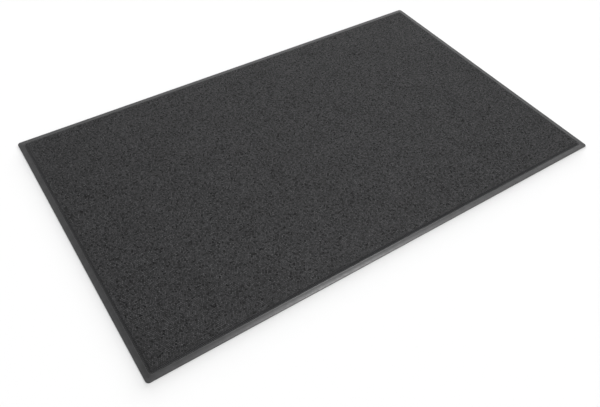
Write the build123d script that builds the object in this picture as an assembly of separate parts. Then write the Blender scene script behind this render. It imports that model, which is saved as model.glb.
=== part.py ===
from build123d import *

import math
import os

# Anti fatigue mat, 3 x 5 ft. A pebble-grained vinyl wear sheet is bonded over a foam core,
# four smooth ramp strips frame them, and a non-slip backing sheet lies under everything.
#
# Millimetres, +Z up. The origin is on the floor under the middle of the mat. +X runs along
# the long side, and the front edge faces -Y.

# Outline of the whole mat
mat_length = 1524.0
mat_width = 914.4
mat_height = 9.5
outer_corner_radius = 9.0

# Backing sheet
backing_thickness = 1.0

# Ramp strips: a low outer lip, a ramp up to the wear sheet, and a ledge that carries its hem
lip_height = 0.8
ramp_width = 15.2
ramp_rise = 2.2
ledge_width = 2.0

# Wear sheet: its hem lies flat on the ledge, a hair short of the ramp
wear_thickness = 1.2
seam_gap = 0.3
hem_corner_radius = 9.0

# Shoulder that the core and the wear sheet rise in, from the hem to the flat top
shoulder_slope = 60.0
shoulder_round = 4.0
crown_corner_flat = 2.0

# Heights above the floor
lip_top = backing_thickness + lip_height
ramp_top = lip_top + ramp_rise
ledge_top = ramp_top - wear_thickness

# Distances in from the mat's edge
strip_width = ramp_width + ledge_width
hem_inset = ramp_width + seam_gap
crown_rise = mat_height - ramp_top
shoulder_run = crown_rise / math.tan(math.radians(shoulder_slope))
round_reach = shoulder_round * math.tan(math.radians(shoulder_slope / 2))

# Corner radii of the crown in plan: its top edge, whose rounding leaves a small radius inside
# it, and its foot
crown_top_radius = crown_corner_flat + round_reach
crown_foot_radius = crown_top_radius + shoulder_run


def outline(inset, corner_radius, height):
    """Rectangle at a height, the same distance in from all four edges of the mat."""
    length = mat_length - 2 * inset
    width = mat_width - 2 * inset
    if corner_radius:
        return Pos(0, 0, height) * RectangleRounded(length, width, corner_radius)
    return Pos(0, 0, height) * Rectangle(length, width)


def plate(inset, corner_radius, bottom, top):
    """Flat plate between two heights."""
    return extrude(outline(inset, corner_radius, bottom), amount=top - bottom)


def crown(foot_height):
    """Low pad with sloping shoulders, its foot at the strips' inner edge, its top edge round."""
    foot = outline(strip_width, crown_foot_radius, foot_height)
    top = outline(strip_width + shoulder_run, crown_top_radius, foot_height + crown_rise)
    pad = loft([foot.face(), top.face()], ruled=True)
    top_edges = pad.faces().sort_by(Axis.Z)[-1].edges()
    return fillet(top_edges, shoulder_round)


def backing_sheet():
    """Non-slip sheet under the whole mat."""
    return plate(0, outer_corner_radius, 0, backing_thickness)


def foam_core():
    """Slab between the ramp strips, with the crown that cushions the feet on top of it."""
    slab = plate(strip_width, 0, backing_thickness, ledge_top)
    return slab + crown(ledge_top)


def wear_sheet():
    """Vinyl sheet of even depth, formed over the core and lying flat on the strips' ledges."""
    hem = plate(hem_inset, hem_corner_radius, ledge_top, ramp_top)
    return hem + crown(ramp_top) - crown(ledge_top)


def ramp_strip(side_length, half_span):
    """Ramp strip along the -Y edge of a mat that reaches half_span from its middle line, with
    mitred ends."""
    section = Plane.YZ * make_face(
        Polyline(
            (-half_span, backing_thickness),
            (strip_width - half_span, backing_thickness),
            (strip_width - half_span, ramp_top),
            (ramp_width - half_span, ramp_top),
            (-half_span, lip_top),
            close=True,
        )
    )
    strip = extrude(section, amount=side_length / 2, both=True)
    half_length = side_length / 2
    mitred_plan = make_face(
        Polyline(
            (-half_length, -half_span),
            (half_length, -half_span),
            (half_length - strip_width, strip_width - half_span),
            (strip_width - half_length, strip_width - half_span),
            close=True,
        )
    )
    return strip & extrude(mitred_plan, amount=mat_height)


def ramp_strips():
    """The four strips by side, with the mat's rounded corners and the pocket for the hem."""
    footprint = plate(0, outer_corner_radius, 0, mat_height)
    pocket = plate(ramp_width, hem_corner_radius + seam_gap, ledge_top, mat_height)
    long_strip = ramp_strip(mat_length, mat_width / 2)
    short_strip = ramp_strip(mat_width, mat_length / 2)
    blanks = {
        "front": long_strip,
        "right": Rot(0, 0, 90) * short_strip,
        "back": Rot(0, 0, 180) * long_strip,
        "left": Rot(0, 0, 270) * short_strip,
    }
    return {side: blank & footprint - pocket for side, blank in blanks.items()}


nodes = {
    "grip_base": backing_sheet(),
    "cushion_core": foam_core(),
    "wear_surface": wear_sheet(),
}
for side, strip in ramp_strips().items():
    nodes[f"edge_{side}"] = strip

os.makedirs("parts", exist_ok=True)
for name, solid in nodes.items():
    export_step(solid, f"parts/{name}.step")
    size = solid.bounding_box().size
    print(f"{name}: {size.X:.1f} x {size.Y:.1f} x {size.Z:.2f} mm, {solid.volume / 1000:.1f} cm3")
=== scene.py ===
import math

import bpy
import numpy as np
from mathutils import Matrix, Vector


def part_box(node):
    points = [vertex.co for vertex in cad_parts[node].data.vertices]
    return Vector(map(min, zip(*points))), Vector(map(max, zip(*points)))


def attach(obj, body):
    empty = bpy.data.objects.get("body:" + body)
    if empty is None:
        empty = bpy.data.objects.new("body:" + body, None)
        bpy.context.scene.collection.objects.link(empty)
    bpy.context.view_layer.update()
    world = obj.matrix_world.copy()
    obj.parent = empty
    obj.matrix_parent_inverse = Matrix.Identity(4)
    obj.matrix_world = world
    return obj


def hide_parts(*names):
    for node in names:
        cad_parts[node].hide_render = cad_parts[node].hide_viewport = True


# Anti fatigue mat: a pebble-grained vinyl wear sheet over a foam core, framed by four smooth
# ramp strips on a non-slip backing sheet. Metres. The origin is on the floor under the middle
# of the mat, +X runs along the long side and the front edge faces -Y.

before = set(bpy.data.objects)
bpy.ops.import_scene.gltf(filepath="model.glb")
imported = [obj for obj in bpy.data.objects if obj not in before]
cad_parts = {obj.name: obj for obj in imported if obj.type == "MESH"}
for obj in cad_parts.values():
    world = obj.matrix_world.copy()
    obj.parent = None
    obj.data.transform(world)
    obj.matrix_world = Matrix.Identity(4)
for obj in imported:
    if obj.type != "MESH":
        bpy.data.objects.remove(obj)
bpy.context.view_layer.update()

# Places read from the frame
base_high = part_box("grip_base")[1]
strip_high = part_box("edge_front")[1]
sheet_low, sheet_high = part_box("wear_surface")
core_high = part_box("cushion_core")[1]
MAT_HALF = (base_high[0], base_high[1])
HEM_HALF = (sheet_high[0], sheet_high[1])
CORE_HALF = (core_high[0], core_high[1])
BACKING_TOP = base_high[2]
RAMP_TOP = strip_high[2]
LEDGE_TOP = sheet_low[2]
MAT_TOP = sheet_high[2]

# Points closer than this are one point, and so are those equal to as many decimals
TOUCHING = 1e-7
MERGE_DECIMALS = 7

# Least divisor, which keeps a corner's own centre from dividing by 0
LEAST_DIVISOR = 1e-12

# Edge strips. The corner radii are in plan, and the rounds are those of the section.
MAT_CORNER = 0.009
HEM_CORNER = 0.009
SEAM_GAP = 0.0003
SEAM_ROUND = 0.0004
LIP_TOP = 0.0018
LIP_ROUND = 0.0004
RAMP_SAG = 0.0003
ROUND_POINTS = 5
RAMP_POINTS = 9
CORNER_POINTS = 7

# Crown: how far its shoulder runs in from its foot, and the foot's corner radius in plan
SHOULDER_RUN = 0.0054
SHOULDER_POINTS = 11
CROWN_CORNER = 0.0074

# Foam core: its own corner radius, and where its flat middle starts in the mesh
CORE_CORNER = 0.0005
CORE_FLAT_FROM = 0.03

# Wear sheet: points along its curved section, and on its inside the depths of its loops as
# shares of the shoulder's run and their smallest corner radius
SECTION_POINTS = 60
LOOP_DEPTHS = np.linspace(0.2, 1.0, 5)
LOOP_CORNER_LEAST = HEM_CORNER / 4

# Pebble grain. Pitch and relief are lengths. Jitter is a share of the pitch. The ring is where
# a dome turns down, as shares of the way to the groove and of the dome's height.
PEBBLE_SEED = 7
PEBBLE_PITCH = 0.0042
PEBBLE_RELIEF = 0.0005
PEBBLE_JITTER = 0.32
RING_SHARE = 0.62
RING_HEIGHT = 0.74
SPARE_CELLS = 2

# Slow drift of the pebble rows
DRIFT_WAVES = (0.02, 0.06)
DRIFT_COUNT = 14
DRIFT_STEEPNESS = 0.08
DRIFT_FADE = 0.02

# Height of the pebbles as a share of the relief: middle, spread and least
PEBBLE_TALL = 0.52
PEBBLE_SPREAD = 0.19
PEBBLE_LEAST = 0.06
CLUMP_WAVES = (0.007, 0.014)
CLUMP_COUNT = 40
CLUMP_SHARE = 0.05

# Band along the hem where the mould has evened the pebbles out. Raising them there also paints
# the band lighter, as painted light that offsets the shade on the crown's shoulder
PRESSED_AND_LIGHTENED_SHARE = 0.85
PRESSED_AND_LIGHTENED_WIDTH = 0.009

# Underside ribs
RIB_PITCH = 0.006
RIB_DEPTH = 0.0003
RIB_MARGIN = 0.012
LINES_PER_RIB = 4

# Grained vinyl: the darkest blotch as a share of the palest, and the shine that is left in the
# grooves, where the lowered shine is painted shade in the hollows
BLOTCH_LEAST = 0.8
GROOVE_SHADED_SHINE = 0.1

# Camera
CAMERA_AZIMUTH = math.radians(-35.46)
CAMERA_ELEVATION = math.radians(48.46)
CAMERA_ROLL = math.radians(3.27)
CAMERA_DISTANCE = 1.7655
CAMERA_TARGET = (-0.2137, -0.1551, 0.0)
CAMERA_LENS = 37.24
CAMERA_SHIFT = 0.036

# Studio
AMBIENT = 0.335
FLOOR_TONE = (0.81, 0.81, 0.81)
FLOOR_ROUGHNESS = 0.9
FLOOR_GLOW = 0.04
FLOOR_REACH = 40.0
FLOOR_LEVEL = -0.0002
LAMP_DISTANCE = 200.0

# Lamps: azimuth, elevation, the angles that they fill across and up, all in degrees, and
# brightness. Azimuth 0 is at the back, 90 at the right.
LAMPS = {
    "key": (56, 60, (12, 14), 23.0),
    "back_fill": (27, 50, (34, 30), 2.0),
    "side_fill": (92, 45, (16, 14), 3.4),
    "front_fill": (185, 22, (40, 20), 2.6),
    "low_strip": (42, 9, (50, 9), 42.0),
}


# ---------------------------------------------------------------- shared shape functions

def rounded(x, y, half, radius):
    """Rounds the corners of a rectangular grid. In each corner square of side radius, a point
    keeps its direction from the square's inner corner, and its distance from there becomes the
    larger of its two offsets, which puts the square's outer sides on an arc."""
    dx = np.abs(x) - (half[0] - radius)
    dy = np.abs(y) - (half[1] - radius)
    in_corner = (dx > 0) & (dy > 0)
    scale = np.where(in_corner, np.maximum(dx, dy) / np.maximum(np.hypot(dx, dy), LEAST_DIVISOR),
                     1.0)
    new_x = np.where(in_corner, np.sign(x) * (half[0] - radius + dx * scale), x)
    new_y = np.where(in_corner, np.sign(y) * (half[1] - radius + dy * scale), y)
    return new_x, new_y


def depth_inside(x, y, half, radius):
    """Distance in from the outline of a rectangle with rounded corners, 0 on and outside it."""
    qx = np.abs(x) - (half[0] - radius)
    qy = np.abs(y) - (half[1] - radius)
    outside = np.hypot(np.maximum(qx, 0), np.maximum(qy, 0))
    return np.maximum(radius - outside - np.minimum(np.maximum(qx, qy), 0), 0)


def shoulder_rise(depth):
    """Rise of the crown at a depth inside its foot: a smooth step, 3t^2 - 2t^3, where t is the
    share of the shoulder's run."""
    t = np.clip(depth / SHOULDER_RUN, 0, 1)
    return (MAT_TOP - RAMP_TOP) * t * t * (3 - 2 * t)


def crown_height(x, y):
    """Rise of the crown above the hem: the shoulder's rise at the depth inside its foot."""
    return shoulder_rise(depth_inside(x, y, CORE_HALF, CROWN_CORNER))


def new_piece(name, points, triangles, material, sharp_degrees=40):
    """Mesh object from whole arrays of points and triangles, smooth but for its sharp edges."""
    mesh = bpy.data.meshes.new(name)
    mesh.vertices.add(len(points))
    mesh.vertices.foreach_set("co", points.astype(np.float32).ravel())
    mesh.loops.add(triangles.size)
    mesh.loops.foreach_set("vertex_index", triangles.astype(np.int32).ravel())
    mesh.polygons.add(len(triangles))
    mesh.polygons.foreach_set("loop_start", np.arange(0, triangles.size, 3, dtype=np.int32))
    mesh.update(calc_edges=True)
    mesh.validate()
    mesh.shade_smooth()
    mesh.set_sharp_from_angle(angle=math.radians(sharp_degrees))
    mesh.materials.append(material)
    piece = bpy.data.objects.new(name, mesh)
    bpy.context.scene.collection.objects.link(piece)
    return piece


def grid_triangles(index):
    """Triangles of a grid of point numbers, facing up where rows run along +Y and columns
    along +X."""
    a, b = index[:-1, :-1], index[:-1, 1:]
    c, d = index[1:, 1:], index[1:, :-1]
    return np.concatenate([np.stack([a, b, c], -1).reshape(-1, 3),
                           np.stack([a, c, d], -1).reshape(-1, 3)])


def without_slivers(triangles):
    """The triangles that have three different points."""
    return triangles[(triangles != np.roll(triangles, 1, axis=1)).all(1)]


def slab(name, x_lines, y_lines, half, corner, bottom, top, material):
    """Closed slab on a grid of lines, its corners rounded in plan. bottom and top give the
    heights of its two faces as functions of x and y, and a wall joins their borders."""
    x, y = np.meshgrid(x_lines, y_lines)
    x, y = rounded(x, y, half, corner)
    lower = np.stack([x, y, bottom(x, y)], -1)
    upper = np.stack([x, y, top(x, y)], -1)
    index = np.arange(x.size).reshape(x.shape)
    border = np.concatenate([index[0, :-1], index[:-1, -1], index[-1, :0:-1], index[:0:-1, 0]])
    loop = np.append(border, border[0])
    triangles = np.concatenate([
        grid_triangles(index)[:, ::-1],
        grid_triangles(index + x.size),
        grid_triangles(np.stack([loop, loop + x.size])),
    ])
    points = np.concatenate([lower.reshape(-1, 3), upper.reshape(-1, 3)])
    return new_piece(name, points, triangles, material)


def edge_lines(half, *steps):
    """Grid lines across a slab: finely spaced steps in from each edge, none between them."""
    steps = np.concatenate(steps)
    return np.concatenate([steps - half, (half - steps)[::-1]])


# ---------------------------------------------------------------- wear sheet

# Way from the hem's edge, level and along the sheet's curved section
HEM_WIDTH = HEM_HALF[0] - CORE_HALF[0]
LEVEL_WAY = np.linspace(0, HEM_WIDTH + SHOULDER_RUN, SECTION_POINTS)
SHEET_RISE = shoulder_rise(LEVEL_WAY - HEM_WIDTH)
SHEET_WAY = np.append(0, np.cumsum(np.hypot(np.diff(LEVEL_WAY), np.diff(SHEET_RISE))))
SHEET_EXTRA = SHEET_WAY[-1] - LEVEL_WAY[-1]


def laid_over(along, half):
    """Plan coordinate of a place on the sheet, from its coordinate on the sheet laid flat,
    which is SHEET_EXTRA longer at each end because the sheet runs up the shoulder."""
    way = half + SHEET_EXTRA - np.abs(along)
    level = np.where(way < SHEET_WAY[-1], np.interp(way, SHEET_WAY, LEVEL_WAY),
                     way - SHEET_EXTRA)
    return np.sign(along) * (half - level)


def waves(x, y, rng, lengths, count):
    """Phases of plane waves in random directions over the sheet, one wave at a time, each with
    its angular wave number. lengths are the shortest and longest wave."""
    for _ in range(count):
        heading = rng.uniform(0, 2 * math.pi)
        number = 2 * math.pi / rng.uniform(*lengths)
        yield number, number * (x * math.cos(heading) + y * math.sin(heading))


def slow_drift(x, y, rng):
    """Sideways drift that keeps rows of pebbles from running straight: a sum of sine waves in
    all directions, each as high as the steepness over its wave number, that dies out towards
    the hem."""
    drift = np.zeros((2,) + x.shape)
    for number, phase in waves(x, y, rng, DRIFT_WAVES, DRIFT_COUNT):
        for axis in (0, 1):
            drift[axis] += DRIFT_STEEPNESS / number * np.sin(phase + rng.uniform(0, 2 * math.pi))
    return drift * np.clip(depth_inside(x, y, HEM_HALF, HEM_CORNER) / DRIFT_FADE, 0, 1)


def clumps(x, y, rng):
    """How pebbles gather in taller and lower clumps: a sum of sine waves in all directions,
    about 0 with a spread of 1."""
    swell = np.zeros_like(x)
    for _, phase in waves(x, y, rng, CLUMP_WAVES, CLUMP_COUNT):
        swell += np.sin(phase + rng.uniform(0, 2 * math.pi))
    return swell / math.sqrt(CLUMP_COUNT / 2)


def meeting(values, odd, turn):
    """Sum of each cell's value and those of its two neighbours in the next row up (turn -1) or
    down (turn 1)."""
    row_on = np.roll(values, turn, axis=0)
    lefts = np.where(odd[..., None], row_on, np.roll(row_on, 1, axis=1))
    rights = np.where(odd[..., None], np.roll(row_on, -1, axis=1), row_on)
    return values + lefts + rights


def groove_numbers(odd):
    """Numbers of the six groove points round each cell, anticlockwise from its top. A cell owns
    the points at its top and bottom, and the four at its sides are its neighbours' own."""
    top_of = np.arange(odd.size).reshape(odd.shape)
    bottom_of = top_of + odd.size
    up, down = np.roll(bottom_of, -1, axis=0), np.roll(top_of, 1, axis=0)
    return np.stack([
        top_of,
        np.where(odd, up, np.roll(up, 1, axis=1)),
        np.where(odd, down, np.roll(down, 1, axis=1)),
        bottom_of,
        np.where(odd, np.roll(down, -1, axis=1), down),
        np.where(odd, np.roll(up, -1, axis=1), up),
    ], -1)


def pebble_grooves(half, rng):
    """Groove points of a jittered honeycomb on the sheet laid flat, and the numbers of the six
    round each cell. Rows lie the pitch times the root of 3/4 apart, and odd rows are half a
    step further along. A groove point is the mean of the middles of the three cells round it,
    and one that touches a cell beyond the sheet is moved onto the sheet's outline."""
    columns = round(2 * half[0] / PEBBLE_PITCH)
    rows = round(2 * half[1] / (PEBBLE_PITCH * math.sqrt(0.75)))
    step = 2 * half / (columns, rows)
    row, column = np.meshgrid(np.arange(-SPARE_CELLS, rows + SPARE_CELLS),
                              np.arange(-SPARE_CELLS, columns + SPARE_CELLS), indexing="ij")
    odd = row % 2 == 1
    x = (column + np.where(odd, 0.75, 0.25)) * step[0] - half[0]
    y = (row + 0.5) * step[1] - half[1]
    jitter = rng.uniform(-PEBBLE_JITTER, PEBBLE_JITTER, (2,) + x.shape)
    drift = slow_drift(x, y, rng)
    middles = np.stack([x + jitter[0] * step[0] + drift[0],
                        y + jitter[1] * step[1] + drift[1]], -1)
    beyond = np.stack([(column >= columns) * 1 - (column < 0) * 1,
                       (row >= rows) * 1 - (row < 0) * 1], -1)
    grooves = []
    for turn in (-1, 1):
        edge = np.sign(meeting(beyond, odd, turn))
        grooves.append(np.where(edge != 0, edge * half, meeting(middles, odd, turn) / 3))

    own = slice(SPARE_CELLS, -SPARE_CELLS)
    around = groove_numbers(odd)[own, own].reshape(-1, 6)
    used, around = np.unique(around, return_inverse=True)
    groove = np.round(np.stack(grooves).reshape(-1, 2)[used], MERGE_DECIMALS)
    groove, merged = np.unique(groove, axis=0, return_inverse=True)
    return groove, merged.reshape(-1)[around].reshape(-1, 6)


def pebble_tallness(middle, rng):
    """Height of each pebble as a share of the relief: a normal spread with clumps in it, raised
    towards 1 in the band along the hem by one minus the square of the way across the band. The
    colour follows the height, so the band is also painted lighter, as painted light against the
    shoulder's shade."""
    tall = rng.normal(PEBBLE_TALL, PEBBLE_SPREAD, len(middle))
    tall += CLUMP_SHARE * clumps(middle[:, 0], middle[:, 1], rng)
    tall = np.clip(tall, PEBBLE_LEAST, 1.0)
    inside = depth_inside(middle[:, 0], middle[:, 1], HEM_HALF, HEM_CORNER)
    # Painted light: raising the band's pebbles also paints them lighter, against the shoulder's
    # shade
    pressed_and_lightened = PRESSED_AND_LIGHTENED_SHARE * (1 - np.clip(inside / PRESSED_AND_LIGHTENED_WIDTH, 0, 1) ** 2)
    return tall + (1 - tall) * pressed_and_lightened


def pebble_triangles(around, groove_count):
    """Triangles of all the pebbles: a fan from the middle to the ring, and a pair on each side
    from the ring to the grooves. The points are the grooves, the middles and the rings."""
    first_ring = groove_count + len(around)
    middle = np.arange(groove_count, first_ring)[:, None] + np.zeros((1, 6), int)
    ring = first_ring + np.arange(around.size).reshape(-1, 6)
    # Where two groove points of a cell are one, so are the ring's points beside them
    ring = np.where(around == np.roll(around, -1, axis=1), np.roll(ring, -1, axis=1), ring)
    ring_next = np.roll(ring, -1, axis=1)
    around_next = np.roll(around, -1, axis=1)
    return np.concatenate([
        np.stack([middle, ring, ring_next], -1).reshape(-1, 3),
        np.stack([ring, around, around_next], -1).reshape(-1, 3),
        np.stack([ring, around_next, ring_next], -1).reshape(-1, 3),
    ])


def pebble_face():
    """Pebbled face of the sheet. Each cell is a low dome: a middle point, a ring of six points
    on its shoulder and the six groove points round it. The honeycomb is worked out on the sheet
    laid flat, then laid over the crown and its corners rounded. Returns the points with their
    relief, the triangles, and the rim's point numbers in order with their places, where the
    hem's half lengths are 1."""
    rng = np.random.default_rng(PEBBLE_SEED)
    hem = np.array(HEM_HALF)
    flat = hem + SHEET_EXTRA
    groove, around = pebble_grooves(flat, rng)
    middle = groove[around].mean(1)
    ring = middle[:, None] + RING_SHARE * (groove[around] - middle[:, None])
    plan = laid_over(np.concatenate([groove, middle, ring.reshape(-1, 2)]), hem)
    x, y = rounded(plan[:, 0], plan[:, 1], HEM_HALF, HEM_CORNER)
    tall = pebble_tallness(middle, rng)
    relief = np.concatenate([np.zeros(len(groove)), tall, np.repeat(RING_HEIGHT * tall, 6)])
    height = RAMP_TOP + crown_height(x, y) + PEBBLE_RELIEF * (relief - 1)
    points = np.column_stack([x, y, height, relief])

    rim = np.flatnonzero((np.abs(np.abs(groove) - flat) < TOUCHING).any(1))
    unit = laid_over(groove[rim], hem) / HEM_HALF
    order = np.argsort(np.arctan2(unit[:, 1], unit[:, 0]))
    return points, pebble_triangles(around, len(groove)), rim[order], unit[order]


def sheet_underside(rim, unit, first):
    """Wall and underside that close the pebbled face. Loops of as many points as its rim run
    down the hem's edge, in under the hem and up the inside of the crown, and a fan of triangles
    closes the last one. first is the number of the first new point."""
    loops = [(0.0, HEM_CORNER, LEDGE_TOP), (HEM_WIDTH, HEM_CORNER, LEDGE_TOP)]
    for depth in LOOP_DEPTHS * SHOULDER_RUN:
        loops.append((HEM_WIDTH + depth, max(CROWN_CORNER - depth, LOOP_CORNER_LEAST),
                      LEDGE_TOP + shoulder_rise(depth)))
    count = len(rim)
    points = []
    for inset, corner, height in loops:
        reach = (HEM_HALF[0] - inset, HEM_HALF[1] - inset)
        x, y = rounded(unit[:, 0] * reach[0], unit[:, 1] * reach[1], reach, corner)
        points.append(np.column_stack([x, y, np.full(count, height), np.zeros(count)]))
    points.append([[0.0, 0.0, loops[-1][2], 0.0]])
    index = np.vstack([rim, first + np.arange(len(loops) * count).reshape(-1, count)])
    index = np.hstack([index, index[:, :1]])
    middle = np.full(count, first + len(loops) * count)
    fan = np.stack([index[-1, :-1], middle, index[-1, 1:]], -1)
    return np.concatenate(points), np.concatenate([grid_triangles(index)[:, ::-1], fan])


def make_wear_sheet(material):
    """The pebbled face with its hem's wall and underside, as one closed sheet. Its relief
    attribute is 0 in the grooves and 1 on the tallest pebble."""
    points, triangles, rim, unit = pebble_face()
    more_points, more_triangles = sheet_underside(rim, unit, len(points))
    triangles = without_slivers(np.concatenate([triangles, more_triangles]))
    used, triangles = np.unique(triangles, return_inverse=True)
    points = np.concatenate([points, more_points])[used]
    sheet = new_piece("wear_sheet", points[:, :3], triangles.reshape(-1, 3), material,
                      sharp_degrees=60)
    relief = sheet.data.attributes.new("relief", "FLOAT", "POINT")
    relief.data.foreach_set("value", points[:, 3].astype(np.float32))
    return sheet


# ---------------------------------------------------------------- foam core and backing sheet

def make_core(material):
    """Foam pad: flat below, its top a rim at ledge height that steps smoothly up to the crown."""
    steps = [np.linspace(0, SHOULDER_RUN, SHOULDER_POINTS), [CORE_FLAT_FROM]]
    return slab("foam_core", edge_lines(CORE_HALF[0], *steps), edge_lines(CORE_HALF[1], *steps),
                CORE_HALF, CORE_CORNER,
                lambda x, y: np.full_like(x, BACKING_TOP),
                lambda x, y: LEDGE_TOP + crown_height(x, y), material)


def make_backing(material):
    """Backing sheet whose underside has fine ribs, a raised cosine across Y, inside a flat
    margin."""
    corner = np.linspace(0, MAT_CORNER, CORNER_POINTS)
    field = (MAT_HALF[0] - RIB_MARGIN, MAT_HALF[1] - RIB_MARGIN)
    ribs = round(2 * field[1] / RIB_PITCH)
    rib_lines = np.linspace(-field[1], field[1], LINES_PER_RIB * ribs + 1)
    y_lines = np.concatenate([corner - MAT_HALF[1], rib_lines, (MAT_HALF[1] - corner)[::-1]])
    x_lines = edge_lines(MAT_HALF[0], corner, [RIB_MARGIN, RIB_MARGIN + RIB_PITCH])

    def underside(x, y):
        wave = 0.5 - 0.5 * np.cos(2 * math.pi * ribs * (y + field[1]) / (2 * field[1]))
        inside = np.minimum(field[0] - np.abs(x), field[1] - np.abs(y))
        return RIB_DEPTH * wave * (inside > RIB_PITCH / 2)

    return slab("backing_sheet", x_lines, y_lines, MAT_HALF, MAT_CORNER, underside,
                lambda x, y: np.full_like(x, BACKING_TOP), material)


# ---------------------------------------------------------------- ramp strips

def strip_section():
    """Upper line of a strip's section from the lip to the ledge's inner edge, as rows of inset
    from the mat's edge, height and corner radius in plan. The lip and the seam are quarter
    rounds, and the ramp between them sags by a parabola."""
    ramp_inner = MAT_HALF[0] - HEM_HALF[0] - SEAM_GAP
    ledge_inner = MAT_HALF[0] - CORE_HALF[0]
    turn = np.linspace(0, math.pi / 2, ROUND_POINTS)
    lip = np.column_stack([LIP_ROUND * (1 - np.cos(turn)),
                           LIP_TOP - LIP_ROUND * (1 - np.sin(turn))])
    t = np.linspace(0, 1, RAMP_POINTS)[1:-1]
    ramp = np.column_stack([LIP_ROUND + (ramp_inner - SEAM_ROUND - LIP_ROUND) * t,
                            LIP_TOP + (RAMP_TOP - LIP_TOP) * t - 4 * RAMP_SAG * t * (1 - t)])
    seam = np.column_stack([ramp_inner - SEAM_ROUND * (1 - np.sin(turn)),
                            RAMP_TOP - SEAM_ROUND * (1 - np.cos(turn))])
    line = np.concatenate([[[0, BACKING_TOP]], lip, ramp, seam,
                           [[ramp_inner, LEDGE_TOP], [ledge_inner, LEDGE_TOP],
                            [ledge_inner, BACKING_TOP]]])
    corner = np.full(len(line), MAT_CORNER)
    corner[-2:] = CORE_CORNER
    return np.column_stack([line, corner])


def make_strip(side, quarter_turns, half, material):
    """Ramp strip with mitred ends. Its section is carried along one side of the mat and half
    of each corner's arc, up to the 45 degree line where it is welded to the next strip."""
    section = strip_section()
    count = len(section)
    # The underside has a point below each upper one that stands clear of both its neighbours
    steps_in = np.diff(section[:-1, 0]) > TOUCHING
    moved = 1 + np.flatnonzero(steps_in[:-1] & steps_in[1:])
    under = section[moved[::-1]]
    under[:, 1] = BACKING_TOP
    inset, height, corner = np.concatenate([section, under]).T

    bend = np.radians(np.linspace(45, 0, CORNER_POINTS))
    angle = np.concatenate([-bend, bend[::-1]])[:, None]
    end = np.repeat([-1, 1], len(bend))[:, None]
    x = end * (half[0] - inset - corner) + corner * np.sin(angle)
    y = inset + corner - half[1] - corner * np.cos(angle)
    for _ in range(quarter_turns):
        x, y = -y, x
    points = np.stack([x, y, height + np.zeros_like(x)], -1).reshape(-1, 3)

    index = np.arange(x.size).reshape(x.shape)
    skin = grid_triangles(np.hstack([index, index[:, :1]]))[:, ::-1]
    # Each end is closed by bands between every upper point and the underside's point below it
    upper = np.arange(count)
    below = len(inset) - np.searchsorted(moved, upper, side="right")
    below[:moved[0]] = 0
    below[-2:] = count - 1
    cap = grid_triangles(np.stack([upper, below]))
    triangles = np.concatenate([skin, cap, cap[:, ::-1] + index[-1, 0]])
    return new_piece(f"ramp_strip_{side}", points, without_slivers(triangles), material,
                     sharp_degrees=30)


# ---------------------------------------------------------------- finishes

def linked(tree, kind, inputs, **settings):
    """New node with its settings, and each input linked to a socket or set to a value."""
    node = tree.nodes.new(kind)
    for key, value in settings.items():
        setattr(node, key, value)
    for key, value in inputs.items():
        if isinstance(value, bpy.types.NodeSocket):
            tree.links.new(value, node.inputs[key])
        else:
            node.inputs[key].default_value = value
    return node


def noise(tree, place, scale, detail, roughness=0.5):
    """Noise on object coordinates, as many blotches to the metre as its scale."""
    node = linked(tree, "ShaderNodeTexNoise",
                  {"Vector": place, "Scale": scale, "Detail": detail, "Roughness": roughness})
    return node.outputs["Fac"]


def spread(tree, value, low, high, source=(0.0, 1.0)):
    """A pattern stretched so that its source range runs from low to high."""
    node = linked(tree, "ShaderNodeMapRange",
                  {"Value": value, "From Min": source[0], "From Max": source[1],
                   "To Min": low, "To Max": high})
    return node.outputs["Result"]


# What noise seldom leaves
NOISE_RANGE = (0.3, 0.7)


def polymer(name, dark, light, roughness, blotch, grain, grain_depth, specular=0.5,
            relief=False):
    """Moulded or calendered polymer: blotches of two tones, uneven roughness and a fine grain
    in its surface. blotch and grain are counts to the metre. relief paints low pebbles and the
    grooves between them darker and duller than tall ones, as painted shade in the hollows."""
    material = bpy.data.materials.new(name)
    material.use_nodes = True
    tree = material.node_tree
    shader = tree.nodes["Principled BSDF"]
    shader.inputs["Specular IOR Level"].default_value = specular
    place = tree.nodes.new("ShaderNodeTexCoord").outputs["Object"]
    tone = spread(tree, noise(tree, place, blotch, detail=5.0), 0.0, 1.0, NOISE_RANGE)
    # Painted shade: the relief attribute darkens the colour and dulls the shine of grooves and
    # low pebbles
    if relief:
        height = linked(tree, "ShaderNodeAttribute", {}, attribute_name="relief").outputs["Fac"]
        tone = linked(tree, "ShaderNodeMath",
                      {0: spread(tree, tone, BLOTCH_LEAST, 1.0), 1: height},
                      operation="MULTIPLY").outputs[0]
        tree.links.new(spread(tree, height, GROOVE_SHADED_SHINE * specular, specular),
                       shader.inputs["Specular IOR Level"])
    colour = linked(tree, "ShaderNodeMix",
                    {"Factor": tone, "A": (*dark, 1), "B": (*light, 1)}, data_type="RGBA")
    tree.links.new(colour.outputs["Result"], shader.inputs["Base Color"])
    rough = spread(tree, noise(tree, place, 4 * blotch, detail=4.0), *roughness, NOISE_RANGE)
    tree.links.new(rough, shader.inputs["Roughness"])
    bump = linked(tree, "ShaderNodeBump",
                  {"Height": noise(tree, place, grain, detail=4.0, roughness=0.6),
                   "Distance": grain_depth, "Strength": 1.0})
    tree.links.new(bump.outputs["Normal"], shader.inputs["Normal"])
    return material


# ---------------------------------------------------------------- studio

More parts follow.
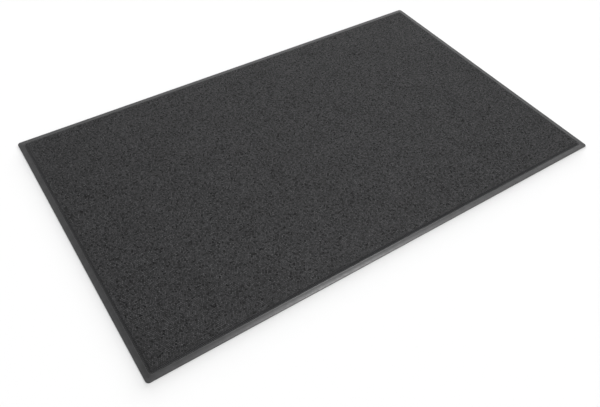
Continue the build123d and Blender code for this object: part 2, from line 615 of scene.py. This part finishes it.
def make_camera():
    """Camera off the mat's front left corner, looking down over it."""
    data = bpy.data.cameras.new("camera")
    data.lens = CAMERA_LENS
    data.shift_x = CAMERA_SHIFT
    camera = bpy.data.objects.new("camera", data)
    back = Vector((math.sin(CAMERA_AZIMUTH) * math.cos(CAMERA_ELEVATION),
                   -math.cos(CAMERA_AZIMUTH) * math.cos(CAMERA_ELEVATION),
                   math.sin(CAMERA_ELEVATION)))
    turn = (-back).to_track_quat("-Z", "Y") @ Matrix.Rotation(CAMERA_ROLL, 3, "Z").to_quaternion()
    camera.matrix_world = Matrix.LocRotScale(Vector(CAMERA_TARGET) + CAMERA_DISTANCE * back,
                                             turn, None)
    bpy.context.scene.collection.objects.link(camera)
    bpy.context.scene.camera = camera


def make_softbox(name, azimuth, elevation, spans, brightness):
    """Rectangular lamp, LAMP_DISTANCE away, that faces the mat's middle."""
    width, height = (2 * LAMP_DISTANCE * math.tan(math.radians(span / 2)) for span in spans)
    data = bpy.data.lights.new(name, "AREA")
    data.shape = "RECTANGLE"
    data.size, data.size_y = width, height
    data.energy = brightness * math.pi * width * height
    lamp = bpy.data.objects.new(name, data)
    a, e = math.radians(azimuth), math.radians(elevation)
    away = Vector((math.sin(a) * math.cos(e), math.cos(a) * math.cos(e), math.sin(e)))
    lamp.matrix_world = Matrix.LocRotScale(away * LAMP_DISTANCE, away.to_track_quat("Z", "Y"),
                                           None)
    bpy.context.scene.collection.objects.link(lamp)
    return lamp


def seen_directly(tree):
    """1 for rays that come from the camera or by way of a mirror or glass, else 0."""
    path = tree.nodes.new("ShaderNodeLightPath").outputs
    either = linked(tree, "ShaderNodeMath",
                    {0: path["Is Camera Ray"], 1: path["Is Glossy Ray"]}, operation="MAXIMUM")
    return linked(tree, "ShaderNodeMath",
                  {0: either.outputs[0], 1: path["Is Transmission Ray"]},
                  operation="MAXIMUM").outputs[0]


def make_backdrop():
    """White surroundings that light the mat less than they show."""
    world = bpy.data.worlds.new("studio")
    world.use_nodes = True
    bpy.context.scene.world = world
    tree = world.node_tree
    background = tree.nodes["Background"]
    tree.links.new(spread(tree, seen_directly(tree), AMBIENT, 1.0),
                   background.inputs["Strength"])
    background.inputs["Color"].default_value = (1.0, 1.0, 1.0, 1)


def make_floor():
    """Pale matte floor that keeps the mat's shadow."""
    paint = bpy.data.materials.new("pale_floor")
    paint.use_nodes = True
    tree = paint.node_tree
    shader = tree.nodes["Principled BSDF"]
    shader.inputs["Base Color"].default_value = (*FLOOR_TONE, 1)
    shader.inputs["Roughness"].default_value = FLOOR_ROUGHNESS
    shader.inputs["Specular IOR Level"].default_value = 0.0
    shader.inputs["Emission Color"].default_value = (1, 1, 1, 1)
    tree.links.new(spread(tree, seen_directly(tree), 0.0, FLOOR_GLOW),
                   shader.inputs["Emission Strength"])
    mesh = bpy.data.meshes.new("floor")
    reach = FLOOR_REACH
    mesh.from_pydata([(-reach, -reach, FLOOR_LEVEL), (reach, -reach, FLOOR_LEVEL),
                      (reach, reach, FLOOR_LEVEL), (-reach, reach, FLOOR_LEVEL)], [],
                     [(0, 1, 2, 3)])
    mesh.materials.append(paint)
    floor = bpy.data.objects.new("floor", mesh)
    bpy.context.scene.collection.objects.link(floor)


# ---------------------------------------------------------------- making

grained_vinyl = polymer("grained_vinyl", dark=(0.007, 0.007, 0.007),
                        light=(0.082, 0.082, 0.0855), roughness=(0.36, 0.44), blotch=9.0,
                        grain=2600.0, grain_depth=0.00006, specular=0.165, relief=True)
ramp_vinyl = polymer("ramp_vinyl", dark=(0.008, 0.008, 0.0085), light=(0.023, 0.023, 0.0245),
                     roughness=(0.27, 0.41), blotch=70.0, grain=900.0, grain_depth=0.00006,
                     specular=0.43)
foam = polymer("closed_cell_foam", dark=(0.030, 0.030, 0.031), light=(0.055, 0.055, 0.056),
               roughness=(0.80, 0.95), blotch=30.0, grain=1600.0, grain_depth=0.0003)
# Black rubber, kept this dark partly as its own colour and partly as painted shade along the
# lip's outer face
backing_rubber = polymer("backing_rubber", dark=(0.010, 0.010, 0.010),
                         light=(0.018, 0.018, 0.018), roughness=(0.65, 0.85), blotch=20.0,
                         grain=1200.0, grain_depth=0.0001)

wear_sheet = make_wear_sheet(grained_vinyl)
core = make_core(foam)
backing = make_backing(backing_rubber)
sides = [("front", MAT_HALF), ("right", MAT_HALF[::-1]), ("back", MAT_HALF),
         ("left", MAT_HALF[::-1])]
strips = {side: make_strip(side, turns, half, ramp_vinyl)
          for turns, (side, half) in enumerate(sides)}

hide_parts("wear_surface")
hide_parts("cushion_core")
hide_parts("grip_base")
for side, strip in strips.items():
    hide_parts(f"edge_{side}")
for piece in (wear_sheet, core, backing, *strips.values()):
    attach(piece, "root")

make_camera()
make_backdrop()
make_floor()
lamps = {name: make_softbox(name, *settings) for name, settings in LAMPS.items()}
# The low strip brings out the grain and the shadow, and isn't mirrored in the ramps
lamps["low_strip"].visible_glossy = False

bpy.context.scene.view_settings.view_transform = "Standard"
